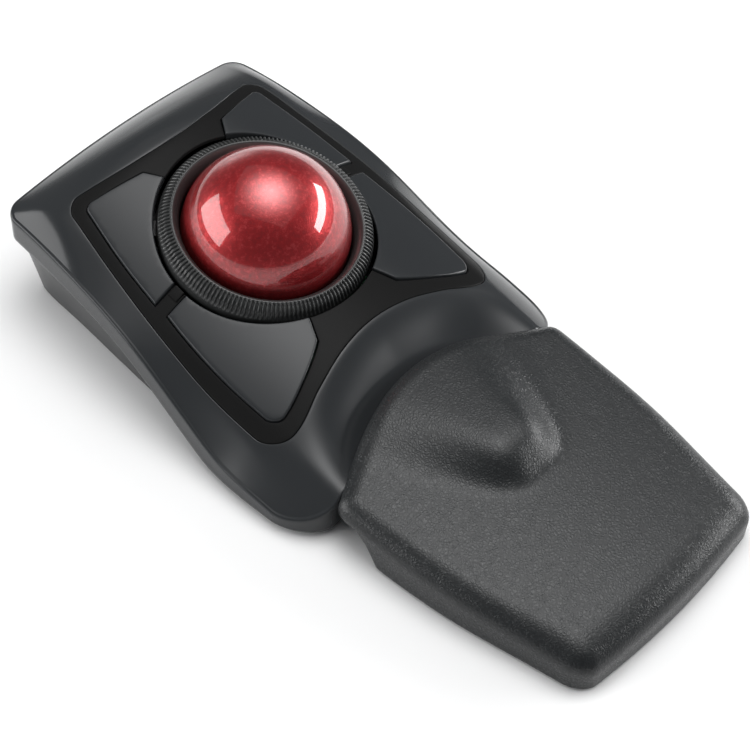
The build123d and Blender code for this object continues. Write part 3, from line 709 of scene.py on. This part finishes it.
# ---- scroll ring ----
def ring_piece():
    """The ring turned about the tilted axis, its shoulder cut into fine ribs."""
    ribs, per_rib, depth = 152, 8, 0.75
    foot, bore, rim, leg, roof = -1.5, 28.0, 34.8, 33.8, 2.6
    # radius, height, and the share of the ribs' full depth cut there
    funnel = [(bore, foot, 0), (bore, 1.0, 0), (bore, 2.4, 0), (28.2, 3.4, 0), (28.5, 4.2, 0),
              (28.9, 5.0, 0), (29.4, 5.7, 0), (29.95, 6.3, 0), (30.3, 6.62, 0)]
    crest = [(30.6, 6.75, 0), (30.9, 6.72, 0), (31.1, 6.64, 0.3), (31.35, 6.56, 0.9)]
    shoulder = [(31.8, 6.38, 1), (32.3, 6.12, 1), (32.9, 5.72, 1), (33.4, 5.3, 1), (33.85, 4.75, 1),
                (34.2, 4.1, 1), (34.45, 3.2, 0.9), (34.6, 2.6, 0.3), (34.72, 2.0, 0)]
    hollow = [(rim, 1.2, 0), (rim, foot, 0), (leg, foot, 0), (leg, roof, 0), (32.2, roof, 0),
              (30.4, 4.2, 0), (30.4, foot, 0)]
    n = ribs * per_rib
    loops = []
    for r, z, share in funnel + crest + shoulder + hollow:
        loop = []
        for i in range(n):
            a = 2 * math.pi * i / n
            wave = min(1.0, max(0.0, 0.45 - 0.85 * math.cos(ribs * a)))
            cut = depth * share * wave
            lean = min(1.0, max(0.0, (r - 31.0) / 3.4))
            inward, down = cut * (0.25 + 0.75 * lean), cut * (1 - 0.8 * lean)
            loop.append(from_deck((r - inward) * math.cos(a), (r - inward) * math.sin(a), z - down))
        loops.append(loop)
    return lofted("scroll_ring_ribbed", loops, sharp=60)


dressed(ring_piece(), "ring_plastic", "ring", "scroll_ring")


# ---- ball ----
def ball_piece():
    """The ball as a rounded cube of evenly sized faces, so that reflections run smoothly over it."""
    bm = bmesh.new()
    bmesh.ops.create_cube(bm, size=2)
    bmesh.ops.subdivide_edges(bm, edges=bm.edges[:], cuts=47, use_grid_fill=True)
    for vert in bm.verts:
        wide = Vector([math.tan(c * math.pi / 4) for c in vert.co])
        vert.co = wide.normalized() * BALL_R
        vert.co = Vector(to_row(vert.co.x, vert.co.y, vert.co.z + BALL_Z))
    for face in bm.faces:
        face.smooth = True
    mesh = bpy.data.meshes.new("red_ball")
    bm.to_mesh(mesh)
    bm.free()
    return linked("red_ball", mesh)


dressed(ball_piece(), "ball_resin", "ball_body", "ball")


# ---- wrist rest pad ----
def pad_low(y):
    """The pad's lower edge, which lifts over the trackball's front."""
    return float(np.interp(y, [-180, -97, -93, -88, -82, -55], [1.2, 1.2, 8, 13, 14, 14]))


def patched(loop, at):
    """A grid of places inside a loop, blended from the four sides between the corners numbered in at."""
    sides = []
    for a, b in zip(at, at[1:] + at[:1]):
        count = (b - a) % len(loop)
        sides.append([(a + i) % len(loop) for i in range(count + 1)])
    low, right, high, left = sides[0], sides[1], sides[2][::-1], sides[3][::-1]
    rows, columns = len(right), len(low)
    grid = np.zeros((rows, columns, 2))
    for j in range(rows):
        v = j / (rows - 1)
        for i in range(columns):
            u = i / (columns - 1)
            ruled = (loop[low[i]] * (1 - v) + loop[high[i]] * v
                     + loop[left[j]] * (1 - u) + loop[right[j]] * u)
            flat = (loop[low[0]] * (1 - u) * (1 - v) + loop[low[-1]] * u * (1 - v)
                    + loop[high[0]] * (1 - u) * v + loop[high[-1]] * u * v)
            grid[j, i] = ruled - flat
    ids = {}
    for j in range(rows):
        ids[(j, 0)], ids[(j, columns - 1)] = left[j], right[j]
    for i in range(columns):
        ids[(0, i)], ids[(rows - 1, i)] = low[i], high[i]
    return grid, ids


def pad_piece():
    """The leather skin: a crowned top with its hump, a rolled edge, sides and a turned-in hem."""
    outer = rest_outline()
    n = len(outer)
    corners = [(-39.5, -167), (39.5, -167), (50, -81), (-50, -81)]
    smoothing, roll_steps = 40, 14
    roll = [np.interp(y, [-172, -150, -90, -63], [13.0, 10.0, 7.0, 6.0]) for _, y in outer]
    reach = moved_out(outer, -1.0) - outer
    core = outer + reach * np.array(roll)[:, None]
    for _ in range(smoothing):
        core = core / 2 + (np.roll(core, 1, axis=0) + np.roll(core, -1, axis=0)) / 4
    grid, ids = patched(core, [int(np.argmin(((outer - c) ** 2).sum(1))) for c in corners])
    verts = [(x, y, pad_z(x, y)) for x, y in core]
    for (j, i) in [(j, i) for j in range(grid.shape[0]) for i in range(grid.shape[1])]:
        if (j, i) not in ids:
            ids[(j, i)] = len(verts)
            x, y = grid[j, i]
            verts.append((x, y, pad_z(x, y)))
    faces = []
    for j in range(grid.shape[0] - 1):
        for i in range(grid.shape[1] - 1):
            faces.append((ids[(j, i)], ids[(j, i + 1)], ids[(j + 1, i + 1)], ids[(j + 1, i)]))

    def band(ring):
        first = len(verts)
        verts.extend(ring)
        for i in range(n):
            k = (i + 1) % n
            faces.append((previous[0] + i, first + i, first + k, previous[0] + k))
        previous[0] = first

    previous = [0]
    tops = [pad_z(x, y) for x, y in core]
    falls = [np.interp(y, [-172, -150, -100, -80, -63], [8.5, 7.5, 6.5, 5.0, 4.0]) for _, y in outer]
    for i in range(1, roll_steps + 1):
        a = math.pi / 2 * i / roll_steps
        line = core + (outer - core) * math.sin(a)
        band([(x, y, top - fall * (1 - math.cos(a))) for (x, y), top, fall in zip(line, tops, falls)])
    shoulder = [top - fall for top, fall in zip(tops, falls)]
    feet = [min(z - 0.8, pad_low(y)) for (_, y), z in zip(outer, shoulder)]
    for share in (0.15, 0.3, 0.45, 0.6, 0.75, 0.88, 1.0):
        band([(x, y, z * (1 - share) + foot * share) for (x, y), z, foot in zip(outer, shoulder, feet)])
    for inward, up in ((0.5, -0.25), (1.1, -0.1), (1.6, 0.5)):
        line = outer + reach * inward
        band([(x, y, foot + up) for (x, y), foot in zip(line, feet)])
    faces.append(tuple(range(previous[0], previous[0] + n)))
    return made_object("rest_pad_leather", verts, faces, sharp=75)


pad = dressed(pad_piece(), "pad_leather", "wrist_rest", "rest_pad")

# ---- CAD nodes that stay, with their materials ----
slot_of = {s["node"]: s["material_slot"] for s in frame["record"]["subparts"]}
for name, obj in frame["nodes"].items():
    obj.data.materials.clear()
    obj.data.materials.append(LOOKS[slot_of[name]])


# ---- floor, light, camera ----
def square(name, reach, mat):
    """A flat square that reaches that far each way."""
    mesh = bpy.data.meshes.new(name)
    corners = [(-reach, -reach, 0), (reach, -reach, 0), (reach, reach, 0), (-reach, reach, 0)]
    mesh.from_pydata(corners, [], [(0, 1, 2, 3)])
    mesh.materials.append(mat)
    obj = linked(name, mesh)
    return obj


def aimed(obj, place, target):
    """Puts obj at place, facing target."""
    obj.location = place
    obj.rotation_euler = (Vector(target) - Vector(place)).to_track_quat("-Z", "Y").to_euler()


def softbox(name, place, target, size, power):
    data = bpy.data.lights.new(name, "AREA")
    data.shape = "RECTANGLE"
    data.size, data.size_y = size
    data.energy = power
    aimed(linked(name, data), place, target)


def glowing_panel(name, place, target, reach, strength):
    """A large diffuser lit from behind its middle: bright there and fading to its edge."""
    mat = bpy.data.materials.new(name)
    mat.use_nodes = True
    mat.node_tree.nodes.clear()
    spot = node(mat, "ShaderNodeTexCoord")
    away = node(mat, "ShaderNodeVectorMath", [(0, spot, "Object")], operation="LENGTH")
    stops = ((0.0, 1.0), (0.22, 0.78), (0.5, 0.26), (0.8, 0.05))
    fade = ramp(mat, away, "Value", [(share * reach, glow) for share, glow in stops])
    fade.color_ramp.interpolation = "B_SPLINE"
    glow = node(mat, "ShaderNodeEmission", [("Color", fade, "Color")], Strength=strength)
    out = node(mat, "ShaderNodeOutputMaterial")
    mat.node_tree.links.new(glow.outputs[0], out.inputs["Surface"])
    panel = square(name, reach, mat)
    aimed(panel, place, target)
    panel.visible_camera = False


square("floor", 6.0, material("floor_pale", (0.92, 0.92, 0.92), 0.9, Specular_IOR_Level=0.1))
glowing_panel("overhead", (0.22, 0.10, 1.2), (0.0, 0.0, 0.03), 1.0, 7.0)
glowing_panel("horizon", (0.60, 1.22, 0.0), (0.0, 0.05, 0.0), 0.55, 1.6)
softbox("left_back", (-0.73, 0.71, 0.39), (0, 0.05, 0.04), (1.05, 0.52), 8)
softbox("right_strip", (0.87, -0.46, 0.35), (0, 0.05, 0.04), (1.04, 0.22), 8.5)

world = bpy.data.worlds.new("studio")
world.use_nodes = True
world.node_tree.nodes["Background"].inputs["Color"].default_value = (0.9, 0.95, 1.0, 1)
world.node_tree.nodes["Background"].inputs["Strength"].default_value = 0.10
bpy.context.scene.world = world
bpy.context.scene.view_settings.view_transform = "Standard"

camera = bpy.data.cameras.new("camera")
camera.lens = 95.39
camera.sensor_width = 36.0
camera.clip_start = 0.01
camera_object = linked("camera", camera)
camera_object.location = (-0.30792, -0.25509, 0.49968)
camera_object.rotation_euler = [math.radians(a) for a in (39.191, -2.279, -47.192)]
bpy.context.scene.camera = camera_object
